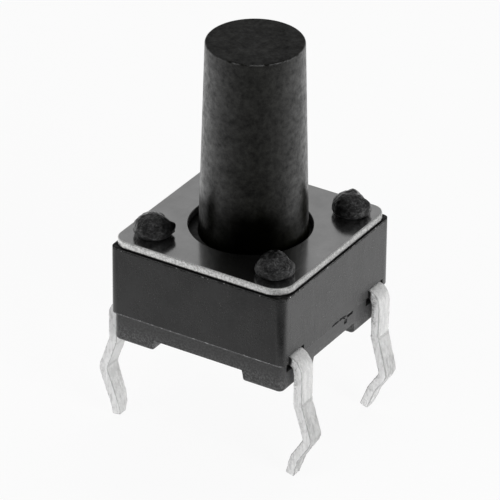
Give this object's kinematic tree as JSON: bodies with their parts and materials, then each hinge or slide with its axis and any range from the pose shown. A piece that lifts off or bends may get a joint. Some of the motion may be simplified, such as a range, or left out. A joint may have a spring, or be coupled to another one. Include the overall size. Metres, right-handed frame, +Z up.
{
  "type": "tactile push button switch",
  "caption": "Square through-hole tactile switch with a tall tapered round plunger, a steel cover plate and kinked leads.",
  "frame": {"origin": "centre of the seating plane under the four feet of the housing", "axes": "+Z up along the plunger, +X towards a face that two leads leave"},
  "size_m": [0.0074, 0.006, 0.0125],
  "materials": {
    "housing_plastic": "moulded black, satin",
    "plunger_plastic": "moulded black, finely eroded",
    "plate_steel": "rolled sheet, satin",
    "dome_steel": "bright spring sheet",
    "tinned_strip": "dull tin plating on brass strip"
  },
  "bodies": {
    "body": {"housing": "housing_plastic", "cover_plate": "plate_steel", "snap_dome": "dome_steel", "centre_terminal": "tinned_strip", "rim_terminal": "tinned_strip"},
    "button": {"plunger": "plunger_plastic"}
  },
  "joints": [
    {"name": "plunger_slide", "type": "slide", "parent": "body", "child": "button", "axis": [0, 0, -1], "range_m": [0, 0.00025], "stiffness_N_per_m": 6400, "deforming": ["snap_dome"]}
  ]
}
